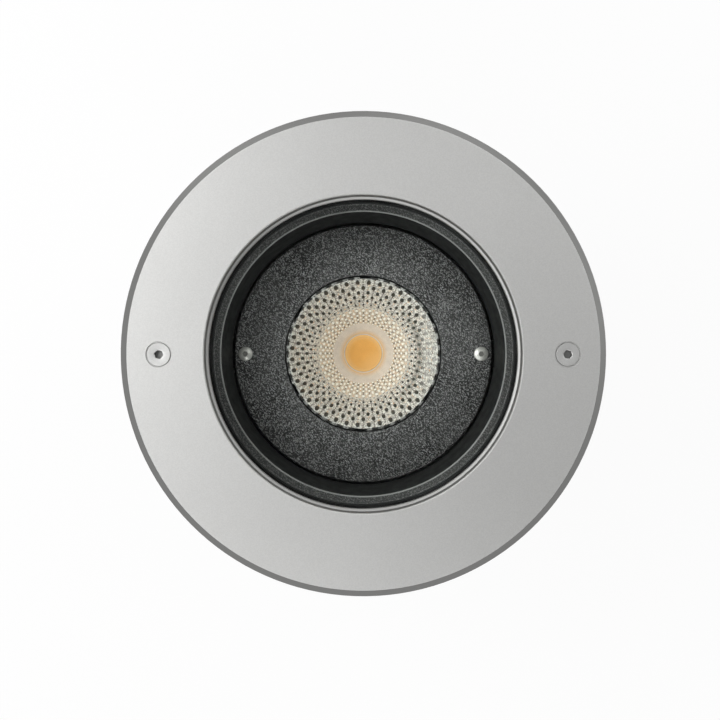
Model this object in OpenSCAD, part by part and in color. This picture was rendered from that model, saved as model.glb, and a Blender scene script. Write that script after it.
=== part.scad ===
// Recessed in-ground uplight. The optic turns about the upright axis and tilts about a level one.
// The origin is the middle of the foot. +Z points up, out of the ground, the way the light shines.

/* [Trim ring] */
// Outer diameter of the trim ring
ring_d = 240; // [238:1:250]
// Thickness of the trim ring
ring_t = 6; // [5:0.5:7]
// Width of the bevel round the outer edge, seen from above
bevel_w = 4; // [2:0.5:6]
// Diameter of the round window in the trim ring
window_d = 156.8; // [156:0.2:158]
// Spacing of the two countersunk trim screws
trim_screw_spacing = 200.5; // [198:0.5:206]

/* [Glass and its frame] */
// Thickness of the walk-over glass
glass_t = 10; // [8:0.5:10]
// Depth of the textured ledge below the top of the ring
ledge_depth = 21; // [20.5:0.5:22]
// Inner radius of the textured ledge
ledge_r = 72.85; // [72:0.05:73.5]
// Depth at which the tapered black wall ends
wall_depth = 43; // [40:0.5:44]
// Radius at the lower end of the tapered wall
wall_end_r = 69.85; // [69.5:0.05:70.5]

/* [Pot] */
// Height from the foot to the top of the trim ring
total_h = 220; // [220:1:240]
// Outer radius of the pot's upper body
body_r = 96; // [95.5:0.5:97]
// Inner radius of the pot's upper body
chamber_r = 90.5; // [90.3:0.1:91]
// Inner radius of the gear chamber below
gear_r = 75; // [74:0.5:76]
// Number of ribs up the outside of the pot
rib_count = 12; // [12, 24]

/* [Optic] */
// Depth of the top of the baffle plate below the top of the ring
plate_depth = 45; // [45:0.5:48]
// Radius of the baffle plate
plate_r = 68.9; // [68:0.1:69]
// Radius of the opening in the baffle plate
opening_r = 41.9; // [41.6:0.1:42.5]
// Radius of the reflector's rim
rim_r = 41.2; // [40.5:0.1:41.2]
// Radius of the reflector's lower mouth
mouth_r = 17.4; // [16:0.1:18]
// Radius of the amber emitter
emitter_r = 10.8; // [8:0.1:11]
// Spacing of the two button-head screws
baffle_screw_spacing = 126.2; // [125:0.2:127]

/* [Hidden] */
$fn = 96;

// Small overlap for cutters, so that no cut ends level with a face
e = 0.5;

// Heights, from the top down
ring_top = total_h;
ring_under = ring_top - ring_t;
gasket_t = 2;
frame_top = ring_under - gasket_t;
flange_t = 6;
pot_top = frame_top - flange_t;
flange_under = pot_top - flange_t;
seal_lip = 1.5;
glass_top = ring_under - seal_lip;
glass_under = glass_top - glass_t;
seat_z = glass_under - seal_lip;
ledge_z = ring_top - ledge_depth;
wall_end_z = ring_top - wall_depth;
plate_top = ring_top - plate_depth;
plate_t = 3;
carrier_top = plate_top - plate_t;
carrier_t = 5;
pivot_z = plate_top - 15;
sink_top = plate_top - 50;
pan_z = pivot_z - 48;
tray_top = 68;
floor_z = 8;
pad_z = floor_z + 4;

// Colours of the materials that come back
CASTING = [0.14, 0.14, 0.145];
SCREW_STEEL = [0.68, 0.68, 0.67];
SHEET_STEEL = [0.62, 0.64, 0.65];
RUBBER = [0.06, 0.06, 0.06];
BLACK_PLASTIC = [0.2, 0.2, 0.2];
EARTH_GREEN = [0.35, 0.55, 0.15];

// Trim ring and its screws
ring_r = ring_d / 2;
window_r = window_d / 2;
window_edge = 0.3;
lip_z = ring_top - 3;
lip_out = window_r - 0.9;
lip_in = window_r - 1.9;
lip_drop = 0.6;
edge_h = 1.5;
trim_hole_r = 3.3;
trim_head_r = 5.7;
trim_head_edge = 0.6;
trim_head_sunk = 0.1;
trim_head_gap = 0.75;
trim_cone_gap = 0.15;
trim_shank_r = 2.95;
trim_socket_r = 2.31;
trim_socket_depth = 2.6;

// Glass, seal and frame
glass_r = 83.9;
glass_chamfer = 0.8;
seal_r = 86;
seal_in = 77.2;
throat_r = 76.8;
recess_r = 86.2;
hub_r = 90;
hub_z = seat_z - 4;
frame_r = ring_r - 0.5;
ledge_round = 0.6;
frame_screw_r = 105.5;
frame_screw_angles = [30 : 60 : 330];
m5_head_r = 4.9;
m5_shank_r = 2.45;
m5_head_edge = 0.2;
m5_socket_r = 1.73;

// Glare cone under the ledge
cone_t = 1.2;
cone_gap = 0.35;
cone_flange_r = 84;
cone_screw_r = 80.5;
cone_screw_angles = [30, 150, 270];

// Joint between frame and pot
groove_in = 92.6;
groove_out = 95.9;
groove_depth = 3.2;

// Upper pot
pot_flange_r = ring_r - 0.8;
seat_rim_in = 112.5;
seat_rim_h = 1;
joint_z = pan_z - 8;
boss_r = 5.5;
boss_drop = 8;
rib_t = 4;
rib_out = 3;
rib_root = 4;

// Gear pot, which carries the control gear, and its joint with the upper pot
lower_r = 79.5;
foot_r = 78;
foot_in = 66;
foot_h = 3;
joint_flange_r = 95;
joint_flange_t = 6;
joint_groove_in = 80.6;
joint_groove_out = 83.6;
joint_groove_depth = 2.2;
joint_screw_r = 89;
joint_screw_angles = [0 : 60 : 300];
m4_r = 1.95;
pillar_r = 4.5;
column_at = 70;
column_angles = [30, 150, 270];
stud_r = 2;
stud_depth = 3;
post_r = 5;

// Pan ring and its keepers
pan_t = 2.5;
pan_in = 66;
pan_out = 81.5;
keeper_at = 85;
keeper_angles = [45 : 90 : 315];
keeper_r = 5.3;
keeper_t = 1.5;
keeper_boss_r = 3.2;
keeper_gap = 0.2;
keeper_tip = 5;
m3_r = 1.5;
m3_head_r = 2.8;
m3_head_h = 2;
m3_socket_r = 1.15;
m35_r = 1.75;
m35_head_r = 3.5;
m35_head_h = 2.4;
m35_socket_r = 1.44;
arm_x = 73.5;
arm_w = 22;
shoulder_r = 4;
pivot_boss_x = 72.3;
pivot_boss_r = 7.5;
pivot_thread_r = 2.55;

// Carrier, reflector and lamp
carrier_in = 45;
carrier_out = 60;
leg_at = 52;
leg_r = 4.5;
leg_angles = [45 : 90 : 315];
notch_count = 6;
notch_first = 28;
notch_w = 6.5;
notch_depth = 1.2;
shell_t = 1.2;
holder_r = 25.5;
holder_h = 5.5;
holder_screw_x = 21.8;
board_w = 28;
board_t = 1.5;
pad_t = 0.4;
board_top = sink_top + pad_t + board_t;
emitter_t = 0.8;
sink_r = 57;
sink_base_t = 6;
fin_r = 47;
fin_h = 29;
fin_t = 2;
fin_pitch = 8;
lead_r = 1.8;
lead_y = 33;

// Gear in the lower chamber
driver_size = [96, 56, 28];
driver_at = [0, 14];
ear_x = 51;
block_size = [42, 22, 26];
block_at = [0, -36];
pole_x = [-14, 0, 14];
pole_y = [1, -7];
well_r = 2.8;
wire_r = 1.4;
wire_hole_r = wire_r + 0.05;
wire_plug = 4.5;
socket_size = [16, 12, 10];
earth_at = [-42, -38];
earth_top = pad_z + block_size[2] - 2;
lug_t = 2;
lug_x = 9;
barrel_h = 4;
gear_top = pad_z + driver_size[2];
block_top = pad_z + block_size[2];

// Cable glands, and the plug that lets the pot breathe
gland_x = 24;
gland_z = 32;
gland_face = -81;
gland_pad_r = 14;
gland_thread_r = 9.9;
cable_r = 5;
vent_z = 40;
vent_r = 6;
vent_boss_r = 9;

// A solid of revolution from an outline of radius and height
module turned(outline) {
    rotate_extrude() polygon(outline);
}

// A ring with square edges
module flat_ring(r_in, r_out, z_low, z_high) {
    turned([[r_in, z_low], [r_out, z_low], [r_out, z_high], [r_in, z_high]]);
}

// Copies its child to a circle of radius r, at each of the angles
module around(angles, r) {
    for (a = angles) rotate([0, 0, a]) translate([r, 0, 0]) children();
}

// Copies its child to the left and right
module both_sides(x) {
    for (s = [-1, 1]) translate([s * x, 0, 0]) children();
}

// An upright rod from one height to another
module rod(r, z_low, z_high) {
    translate([0, 0, z_low]) cylinder(r = r, h = z_high - z_low);
}

// An upright six-sided recess
module hex_recess(r, z_top, depth) {
    translate([0, 0, z_top - depth]) cylinder(r = r, h = depth + e, $fn = 6);
}

// A countersunk socket screw. z_top is the top of its head
module countersunk(head_r, edge, shank_r, z_top, z_tip, socket_r, socket_depth) {
    cone_top = z_top - edge;
    difference() {
        turned([
            [0, z_tip], [shank_r - 0.4, z_tip], [shank_r, z_tip + 0.4],
            [shank_r, cone_top - (head_r - shank_r)], [head_r, cone_top],
            [head_r, z_top], [0, z_top]
        ]);
        hex_recess(socket_r, z_top, socket_depth);
    }
}

// A screw with a low cylinder head. z_seat is the face that the head bears on
module low_head(head_r, head_h, shank_r, z_seat, z_tip, socket_r) {
    difference() {
        turned([
            [0, z_tip], [shank_r, z_tip], [shank_r, z_seat], [head_r, z_seat],
            [head_r, z_seat + head_h - 0.3], [head_r - 0.3, z_seat + head_h], [0, z_seat + head_h]
        ]);
        hex_recess(socket_r, z_seat + head_h, head_h * 0.6);
    }
}

// A screw with a domed button head
module button_head(head_r, head_h, shank_r, z_seat, z_tip, socket_r) {
    dome_r = (head_r * head_r + head_h * head_h) / (2 * head_h);
    difference() {
        union() {
            intersection() {
                translate([0, 0, z_seat + head_h - dome_r]) sphere(r = dome_r);
                rod(head_r + e, z_seat, z_seat + head_h + e);
            }
            rod(shank_r, z_tip, z_seat + head_h / 4);
        }
        hex_recess(socket_r, z_seat + head_h, head_h * 0.6);
    }
}

module trim_ring() {
    cone_r = trim_head_r + trim_cone_gap;
    cone_high = ring_top - trim_head_sunk - trim_head_edge;
    cone_low = cone_high - (cone_r - trim_shank_r);
    color([0.76, 0.76, 0.75]) difference() {
        turned([
            [lip_in, ring_under], [ring_r, ring_under], [ring_r, ring_under + edge_h],
            [ring_r - bevel_w, ring_top], [window_r + window_edge, ring_top],
            [window_r, ring_top - window_edge], [lip_out, lip_z], [lip_in, lip_z - lip_drop]
        ]);
        both_sides(trim_screw_spacing / 2) {
            rod(trim_hole_r, ring_under - e, ring_top);
            rod(trim_head_r + trim_head_gap, ring_top - trim_head_edge, ring_top + e);
            turned([
                [0, cone_low], [trim_shank_r, cone_low], [cone_r, cone_high], [cone_r, ring_top],
                [0, ring_top]
            ]);
        }
    }
}

module trim_screws() {
    color(SCREW_STEEL) both_sides(trim_screw_spacing / 2)
        countersunk(trim_head_r, trim_head_edge, trim_shank_r, ring_top - trim_head_sunk, pot_top + 0.4,
                    trim_socket_r, trim_socket_depth);
}

module trim_gasket() {
    color([0.05, 0.05, 0.05]) difference() {
        flat_ring(recess_r + 0.4, frame_r + 0.1, frame_top, ring_under);
        both_sides(trim_screw_spacing / 2) rod(trim_hole_r, frame_top - e, ring_under + e);
    }
}

module glass() {
    color([0.86, 0.92, 0.9, 0.3]) turned([
        [0, glass_under], [glass_r - glass_chamfer, glass_under], [glass_r, glass_under + glass_chamfer],
        [glass_r, glass_top - glass_chamfer], [glass_r - glass_chamfer, glass_top], [0, glass_top]
    ]);
}

module glass_seal() {
    color(RUBBER) turned([
        [seal_in, seat_z], [seal_r, seat_z], [seal_r, ring_under], [seal_in, ring_under],
        [seal_in, glass_top], [glass_r + 0.1, glass_top], [glass_r + 0.1, glass_under],
        [seal_in, glass_under]
    ]);
}

module glass_frame() {
    color(CASTING) difference() {
        turned([
            [throat_r, seat_z], [recess_r, seat_z], [recess_r, frame_top], [frame_r, frame_top],
            [frame_r, pot_top], [hub_r, pot_top], [hub_r, hub_z], [ledge_r, hub_z], [ledge_r, ledge_z],
            [throat_r - ledge_round, ledge_z], [throat_r, ledge_z + ledge_round]
        ]);
        both_sides(trim_screw_spacing / 2) rod(trim_shank_r + 0.05, pot_top - e, frame_top + e);
        around(frame_screw_angles, frame_screw_r) {
            rod(m5_shank_r + 0.1, pot_top - e, frame_top + e);
            turned([
                [0, frame_top - 2.9], [m5_shank_r, frame_top - 2.9],
                [m5_head_r + 0.15, frame_top - m5_head_edge], [m5_head_r + 0.15, frame_top + e],
                [0, frame_top + e]
            ]);
        }
        around(cone_screw_angles, cone_screw_r) rod(m3_r + 0.05, hub_z - e, hub_z + 2.6);
    }
}

module frame_screws() {
    color(SCREW_STEEL) around(frame_screw_angles, frame_screw_r)
        countersunk(m5_head_r, m5_head_edge, m5_shank_r, frame_top - 0.1, pot_top - 9, m5_socket_r, 1.8);
}

// A round seal in a groove, pressed flat between the groove's floor and the face above it
module pressed_ring(r_in, r_out, z_floor, z_face) {
    section_r = (r_out - r_in) / 2 - 0.02;
    intersection() {
        rotate_extrude() translate([(r_in + r_out) / 2, (z_floor + z_face) / 2]) circle(r = section_r);
        flat_ring(r_in - 1, r_out + 1, z_floor, z_face);
    }
}

module frame_o_ring() {
    color([0.35, 0.1, 0.08]) pressed_ring(groove_in, groove_out, pot_top - groove_depth, pot_top);
}

// The glare cone: spun sheet that hangs from the frame, with a flange at its top
module glare_cone() {
    cone_in = ledge_r + cone_gap;
    flange_z = hub_z - cone_t;
    color(CASTING) difference() {
        turned([
            [wall_end_r, wall_end_z], [wall_end_r + cone_t, wall_end_z], [cone_in + cone_t, flange_z],
            [cone_flange_r, flange_z], [cone_flange_r, hub_z], [cone_in, hub_z]
        ]);
        around(cone_screw_angles, cone_screw_r) rod(m35_r, flange_z - e, hub_z + e);
    }
}

module cone_screws() {
    color(SCREW_STEEL) around(cone_screw_angles, cone_screw_r) translate([0, 0, hub_z - cone_t])
        mirror([0, 0, 1]) low_head(m3_head_r, m3_head_h, m3_r, 0, -cone_t - 2.4, m3_socket_r);
}

// The upper pot: a ribbed tube with a wide flange on top and a ledge inside at its foot
module pot() {
    color(CASTING) difference() {
        union() {
            turned([
                [gear_r, joint_z], [body_r - 2, joint_z], [body_r - 0.5, joint_z + 1.5],
                [body_r, flange_under], [seat_rim_in, flange_under],
                [seat_rim_in, flange_under - seat_rim_h], [pot_flange_r, flange_under - seat_rim_h],
                [pot_flange_r, pot_top], [chamber_r, pot_top], [chamber_r, pan_z], [gear_r, pan_z]
            ]);
            for (i = [0 : rib_count - 1]) rotate([90, 0, (i + 0.5) * 360 / rib_count])
                translate([0, 0, -rib_t / 2]) linear_extrude(rib_t) polygon([
                    [body_r - rib_root, joint_z + 5], [body_r + rib_out, joint_z + 12],
                    [body_r + rib_out, flange_under - 24], [seat_rim_in - rib_out, flange_under + 1],
                    [body_r - rib_root, flange_under + 1]
                ]);
            around(frame_screw_angles, frame_screw_r)
                rod(boss_r, flange_under - boss_drop, flange_under + 1);
            around(keeper_angles, keeper_at) rod(keeper_boss_r, pan_z - e, pan_z + pan_t + keeper_gap);
        }
        flat_ring(groove_in, groove_out, pot_top - groove_depth, pot_top + e);
        around(frame_screw_angles, frame_screw_r) rod(m5_shank_r + 0.05, pot_top - 11, pot_top + e);
        around(keeper_angles, keeper_at) rod(m3_r + 0.05, pan_z - keeper_tip - 0.5, pan_z + 10);
        around(joint_screw_angles, joint_screw_r) rod(m4_r + 0.05, joint_z - e, pan_z - 2);
    }
}

// Low pads on the gear pot's floor, under the driver and the terminals
module gear_pads() {
    both_sides(ear_x) translate([0, driver_at[1], 0]) rod(post_r, floor_z - e, pad_z);
    both_sides(pole_x[2]) translate([0, block_at[1], 0]) rod(post_r, floor_z - e, pad_z);
}

// The gear pot: a cup with a flange that is screwed up against the upper pot
module gear_pot() {
    flange_low = joint_z - joint_flange_t;
    color(CASTING) difference() {
        union() {
            difference() {
                union() {
                    turned([
                        [0, foot_h], [foot_in - 2, foot_h], [foot_in, 0], [foot_r - 2, 0], [foot_r, 2],
                        [lower_r, flange_low - 3], [lower_r + 3, flange_low],
                        [joint_flange_r - 1, flange_low], [joint_flange_r, flange_low + 1],
                        [joint_flange_r, joint_z], [0, joint_z]
                    ]);
                    both_sides(gland_x) translate([0, gland_face, gland_z]) rotate([-90, 0, 0])
                        cylinder(r = gland_pad_r, h = 20);
                    translate([0, -gland_face - 14, vent_z]) rotate([-90, 0, 0])
                        cylinder(r = vent_boss_r, h = 13);
                }
                rod(gear_r, floor_z, joint_z + e);
            }
            gear_pads();
        }
        flat_ring(joint_groove_in, joint_groove_out, joint_z - joint_groove_depth, joint_z + e);
        around(joint_screw_angles, joint_screw_r) rod(m4_r + 0.25, flange_low - e, joint_z + e);
        both_sides(gland_x) translate([0, gland_face - e, gland_z]) rotate([-90, 0, 0])
            cylinder(r = gland_thread_r + 0.1, h = 20);
        translate([0, gear_r - 10, vent_z]) rotate([-90, 0, 0]) cylinder(r = vent_r + 0.1, h = 30);
        around(column_angles, column_at) rod(stud_r + 0.05, floor_z - stud_depth - 0.3, floor_z + e);
        translate([earth_at[0], earth_at[1], 0])
            rod(stud_r + 0.05, floor_z - stud_depth - 0.3, floor_z + e);
        both_sides(ear_x) translate([0, driver_at[1], 0]) rod(m3_r + 0.05, floor_z - 2, pad_z + e);
    }
}

// A pillar with a stud below that screws into the gear pot's floor, and a threaded hole in its top
module pillar(z_top, hole_r, hole_depth) {
    difference() {
        union() {
            rod(pillar_r, floor_z, z_top);
            rod(stud_r, floor_z - stud_depth, floor_z + e);
        }
        rod(hole_r, z_top - hole_depth, z_top + e);
    }
}

// The pillars that carry the gear tray, and the one for the earth screw
module gear_pillars() {
    color(SHEET_STEEL) {
        around(column_angles, column_at) pillar(tray_top - 2, m35_r + 0.05, 12);
        translate([earth_at[0], earth_at[1], 0]) pillar(earth_top, m4_r + 0.05, 10);
    }
}

module pot_o_ring() {
    color([0.35, 0.1, 0.08])
        pressed_ring(joint_groove_in, joint_groove_out, joint_z - joint_groove_depth, joint_z);
}

module pot_screws() {
    color(SCREW_STEEL) around(joint_screw_angles, joint_screw_r)
        translate([0, 0, joint_z - joint_flange_t]) mirror([0, 0, 1])
            low_head(3.5, 2.8, m4_r, 0, -joint_flange_t - 5.5, 1.73);
}

module keeper_washers() {
    low = pan_z + pan_t + keeper_gap;
    color([0.7, 0.7, 0.7]) around(keeper_angles, keeper_at)
        flat_ring(m3_r + 0.1, keeper_r, low, low + keeper_t);
}

module keeper_screws() {
    seat = pan_z + pan_t + keeper_gap + keeper_t;
    color(SCREW_STEEL) around(keeper_angles, keeper_at)
        low_head(m3_head_r, m3_head_h, m3_r, seat, pan_z - keeper_tip, m3_socket_r);
}

module gear_tray() {
    color(SHEET_STEEL) difference() {
        rod(gear_r - 0.5, tray_top - 2, tray_top);
        rod(6, tray_top - 3, tray_top + e);
        around(column_angles, column_at) rod(2.2, tray_top - 3, tray_top + e);
    }
}

module tray_screws() {
    color(SCREW_STEEL) around(column_angles, column_at)
        low_head(m35_head_r, m35_head_h, m35_r, tray_top, tray_top - 12, m35_socket_r);
}

module tray_grommet() {
    color(RUBBER) turned([
        [lead_r + 0.05, tray_top - 4], [8, tray_top - 4], [8.5, tray_top - 3.5], [8.5, tray_top - 2],
        [5.95, tray_top - 2], [5.95, tray_top], [8.5, tray_top], [8.5, tray_top + 1.5],
        [8, tray_top + 2], [lead_r + 0.05, tray_top + 2]
    ]);
}

// The driver: a potted box with an ear at each end
module led_driver() {
    color([0.86, 0.86, 0.84]) translate([driver_at[0], driver_at[1], pad_z]) difference() {
        union() {
            translate([-driver_size[0] / 2, -driver_size[1] / 2, 0]) cube(driver_size);
            translate([-ear_x - 5, -9, 0]) cube([2 * ear_x + 10, 18, 3]);
        }
        both_sides(ear_x) rod(m35_r, -e, 4);
        translate([-driver_size[0] / 2 + 3, -driver_size[1] / 2 + 24, driver_size[2] - 0.8])
            cube([driver_size[0] - 6, driver_size[1] - 27, 1.5]);
        for (x = pole_x) translate([x, -driver_size[1] / 2 + wire_plug, 0])
            rod(wire_hole_r, driver_size[2] - wire_plug - 0.5, driver_size[2] + e);
    }
}

module driver_screws() {
    color(SCREW_STEEL) both_sides(ear_x) translate([0, driver_at[1], 0])
        low_head(m3_head_r, m3_head_h, m3_r, pad_z + 3, floor_z - 1, m3_socket_r);
}

// The socket on top of the driver that takes the lamp lead
module output_socket() {
    color([0.8, 0.8, 0.78]) difference() {
        translate([-socket_size[0] / 2, -socket_size[1] / 2, gear_top]) cube(socket_size);
        rod(lead_r + 0.05, gear_top + 5, gear_top + socket_size[2] + e);
    }
}

// The terminals: a three-pole block with a screw well at each side of each pole
module terminal_block() {
    color([0.8, 0.8, 0.78]) difference() {
        translate([block_at[0] - block_size[0] / 2, block_at[1] - block_size[1] / 2, pad_z])
            cube(block_size);
        for (x = [-7, 7]) translate([x - 0.75, block_at[1] - 20, pad_z + 6]) cube([1.5, 40, 30]);
        for (x = pole_x) translate([x, block_at[1], 0]) {
            for (y = pole_y) translate([0, y, 0]) rod(well_r, block_top - 4, block_top + e);
            translate([0, 7, 0]) rod(wire_hole_r, block_top - wire_plug - 0.5, block_top + e);
            translate([0, -14, pad_z + 10]) rotate([-90, 0, 0]) cylinder(r = 2.2, h = 12);
        }
        translate([earth_at[0] + lug_x + 14, earth_at[1], 0])
            rod(wire_hole_r, block_top - wire_plug - 0.5, block_top + e);
    }
}

module terminal_screws() {
    color([0.8, 0.68, 0.35]) for (x = pole_x, y = pole_y) translate([x, block_at[1] + y, 0])
        difference() {
            rod(well_r - 0.2, block_top - 4, block_top - 1);
            translate([-3, -0.4, block_top - 2]) cube([6, 0.8, 2]);
        }
}

// A lead that goes up, over in a half circle and down again, along Y
module hoop_lead(r, y_low, y_high, z_low, z_high, z_hoop) {
    bend = (y_high - y_low) / 2;
    translate([0, y_low, 0]) rod(r, z_low, z_hoop);
    translate([0, y_high, 0]) rod(r, z_high, z_hoop);
    translate([0, y_low + bend, z_hoop]) rotate([90, 0, 90])
        rotate_extrude(angle = 180) translate([bend, 0]) circle(r = r);
}

module driver_leads() {
    lead_colors = [[0.35, 0.18, 0.09], [0.1, 0.2, 0.6], EARTH_GREEN];
    driver_end = driver_at[1] - driver_size[1] / 2 + wire_plug;
    for (i = [0 : 2]) color(lead_colors[i]) translate([pole_x[i], 0, 0])
        hoop_lead(wire_r, block_at[1] + 7, driver_end, block_top - wire_plug, gear_top - wire_plug,
                  gear_top + 4);
}

// The earth screw on its post, with the lug that it clamps and the lug's barrel
module earth_terminal() {
    color([0.72, 0.72, 0.7]) translate([earth_at[0], earth_at[1], 0]) {
        difference() {
            union() {
                rod(4.5, earth_top, earth_top + lug_t);
                translate([0, -3, earth_top]) cube([12, 6, lug_t]);
                translate([lug_x, 0, 0]) rod(2.4, earth_top + 1, earth_top + lug_t + barrel_h);
            }
            rod(m4_r + 0.1, earth_top - e, earth_top + 3);
            translate([lug_x, 0, 0]) rod(wire_hole_r, earth_top + lug_t, earth_top + 20);
        }
        low_head(3.8, 2.6, m4_r, earth_top + lug_t, earth_top - 8, m35_socket_r);
    }
}

module earth_lead() {
    color(EARTH_GREEN) translate([earth_at[0] + lug_x, earth_at[1], 0]) rotate([0, 0, -90])
        hoop_lead(wire_r, 0, 14, earth_top + lug_t + 0.1, block_top - wire_plug, block_top + 6);
}

// Stands its child along -Y on one gland's axis, with z = 0 at the face of the pot's pad
module on_gland(side) {
    translate([side * gland_x, gland_face, gland_z]) rotate([90, 0, 0]) children();
}

module gland_bodies() {
    color(BLACK_PLASTIC) for (s = [-1, 1]) on_gland(s) difference() {
        union() {
            rod(gland_thread_r, -12, 1.6);
            translate([0, 0, 1.5]) cylinder(r = 13.3, h = 6, $fn = 6);
            rod(10.8, 7, 17);
        }
        rod(6.5, -13, 6);
        rod(8.5, 5, 18);
    }
}

module gland_seals() {
    color([0.1, 0.1, 0.1]) for (s = [-1, 1]) on_gland(s) flat_ring(cable_r, 8.45, 5.05, 20);
}

module gland_caps() {
    color(BLACK_PLASTIC) for (s = [-1, 1]) on_gland(s) difference() {
        union() {
            translate([0, 0, 10]) cylinder(r = 13.3, h = 10, $fn = 6);
            turned([[0, 19], [11.4, 19], [11.4, 21], [9, 25], [0, 25]]);
        }
        rod(10.85, 9, 20.1);
        rod(6, 9, 26);
    }
}

module gland_o_rings() {
    color([0.05, 0.05, 0.05]) for (s = [-1, 1]) on_gland(s) flat_ring(gland_thread_r + 0.2, 12.6, 0, 1.5);
}

module blanking_plug() {
    color([0.05, 0.05, 0.05]) on_gland(-1) turned([
        [0, 4], [cable_r - 0.65, 4], [cable_r - 0.05, 5], [cable_r - 0.05, 25.1], [7.4, 25.1],
        [7.4, 27], [6.4, 28], [0, 28]
    ]);
}

module vent_plug() {
    color(BLACK_PLASTIC) translate([0, -gland_face - 1, vent_z]) rotate([-90, 0, 0]) difference() {
        union() {
            rod(vent_r, -9, 0.1);
            cylinder(r = 8.5, h = 3, $fn = 6);
            rod(6.5, 2.9, 5.5);
        }
        rod(2, -10, 4);
    }
}

// The pan ring: a flat ring that turns on the pot's ledge, with two arms for the tilt
module pan_ring() {
    color([0.66, 0.67, 0.68]) difference() {
        union() {
            flat_ring(pan_in, pan_out, pan_z, pan_z + pan_t);
            for (s = [-1, 1]) on_side(s) translate([arm_x, 0, 0]) {
                translate([0, -arm_w / 2, pan_z + 1]) cube([pan_t, arm_w, pivot_z - pan_z - 1]);
                translate([0, 0, pivot_z]) rotate([0, 90, 0]) cylinder(r = arm_w / 2, h = pan_t);
            }
        }
        translate([-90, 0, pivot_z]) rotate([0, 90, 0]) cylinder(r = shoulder_r + 0.05, h = 180);
    }
}

// Turns its child to the left or the right
module on_side(s) {
    rotate([0, 0, s > 0 ? 0 : 180]) children();
}

// The tilt pins: shoulder screws from outside each arm into the carrier
module tilt_pins() {
    out = arm_x + pan_t + 0.2;
    color(SCREW_STEEL) for (s = [-1, 1]) on_side(s)
        translate([0, 0, pivot_z]) rotate([0, 90, 0]) difference() {
            turned([
                [0, 63], [pivot_thread_r, 63], [pivot_thread_r, pivot_boss_x], [shoulder_r, pivot_boss_x],
                [shoulder_r, out], [6.5, out], [6.5, out + 2.6], [6.1, out + 3], [0, out + 3]
            ]);
            hex_recess(2.3, out + 3, 2);
        }
}

module tilt_washers() {
    color([0.75, 0.75, 0.72]) for (s = [-1, 1]) on_side(s)
        translate([0, 0, pivot_z]) rotate([0, 90, 0])
            flat_ring(shoulder_r + 0.1, pivot_boss_r, pivot_boss_x, arm_x);
}

// The carrier: a cast ring under the baffle plate, with a pivot boss at each side and four legs
module tilt_frame() {
    screw_x = baffle_screw_spacing / 2;
    color([0.2, 0.2, 0.2]) difference() {
        union() {
            flat_ring(carrier_in, carrier_out, carrier_top - carrier_t, carrier_top);
            both_sides(screw_x) rod(5.4, pivot_z, carrier_top);
            for (s = [-1, 1]) on_side(s) {
                translate([58, 0, pivot_z]) rotate([0, 90, 0])
                    cylinder(r = pivot_boss_r, h = pivot_boss_x - 58);
                translate([55, -4.5, pivot_z]) cube([8, 9, carrier_top - pivot_z]);
            }
            around(leg_angles, leg_at) rod(leg_r, sink_top, carrier_top - 1);
        }
        both_sides(screw_x) rod(1.98, carrier_top - 8, carrier_top + e);
        for (s = [-1, 1]) on_side(s) translate([62.5, 0, pivot_z]) rotate([0, 90, 0])
            cylinder(r = pivot_thread_r + 0.03, h = 20);
        around(leg_angles, leg_at) rod(m35_r + 0.05, sink_top - e, sink_top + 12);
    }
}

module baffle_plate() {
    round_r = 0.9;
    color([0.2, 0.2, 0.205]) difference() {
        turned([
            [opening_r, carrier_top], [plate_r - 0.3, carrier_top], [plate_r, carrier_top + 0.3],
            [plate_r, plate_top - round_r], [plate_r - 0.12, plate_top - 0.45],
            [plate_r - 0.45, plate_top - 0.12], [plate_r - round_r, plate_top],
            [opening_r + 0.3, plate_top], [opening_r, plate_top - 0.3]
        ]);
        both_sides(baffle_screw_spacing / 2) rod(2.2, carrier_top - e, plate_top + e);
    }
}

module baffle_screws() {
    color([0.75, 0.75, 0.73]) both_sides(baffle_screw_spacing / 2)
        button_head(3.8, 2.2, 1.95, plate_top, carrier_top - 6.5, 1.45);
}

// Radius of the reflector's inside at a height: a parabola from its mouth to just inside its rim
function bowl_r(z) = let (z0 = sink_top + holder_h, z1 = plate_top - 0.5, r1 = rim_r - notch_depth)
    sqrt(mouth_r * mouth_r + (r1 * r1 - mouth_r * mouth_r) * (z - z0) / (z1 - z0));

module reflector() {
    low = sink_top + holder_h;
    high = plate_top - 0.5;
    steps = 14;
    inside = [for (i = [0 : steps]) let (z = low + (high - low) * i / steps) [bowl_r(z), z]];
    outside = [for (i = [steps : -1 : 0]) let (z = low + (high - shell_t - low) * i / steps)
        [bowl_r(z) + shell_t, z]];
    color([0.9, 0.89, 0.86]) difference() {
        turned(concat(inside, [[rim_r, high], [rim_r, high - shell_t]], outside));
        for (i = [0 : notch_count - 1]) rotate([0, 0, notch_first + i * 360 / notch_count])
            translate([rim_r - notch_depth + 0.1, -notch_w / 2, high - 3]) cube([5, notch_w, 4]);
    }
}

// The lamp holder: a frosted ring that centres the board and funnels up to the reflector's mouth
module lamp_holder() {
    top = sink_top + holder_h;
    color([0.85, 0.8, 0.74]) difference() {
        rod(holder_r, sink_top, top);
        turned([
            [0, sink_top - e], [emitter_r + 0.5, sink_top - e], [emitter_r + 0.5, board_top + 0.3],
            [mouth_r, top], [mouth_r, top + e], [0, top + e]
        ]);
        translate([-board_w / 2 - 0.3, -board_w / 2 - 0.3, sink_top - e])
            cube([board_w + 0.6, board_w + 0.6, board_top - sink_top + e + 0.05]);
        both_sides(holder_screw_x) {
            rod(1.7, sink_top - e, top);
            rod(2.7, top - 2.4, top + e);
        }
        translate([0, 20, sink_top + 2.8]) rotate([-90, 0, 0]) cylinder(r = lead_r + 0.1, h = 10);
    }
}

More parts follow.
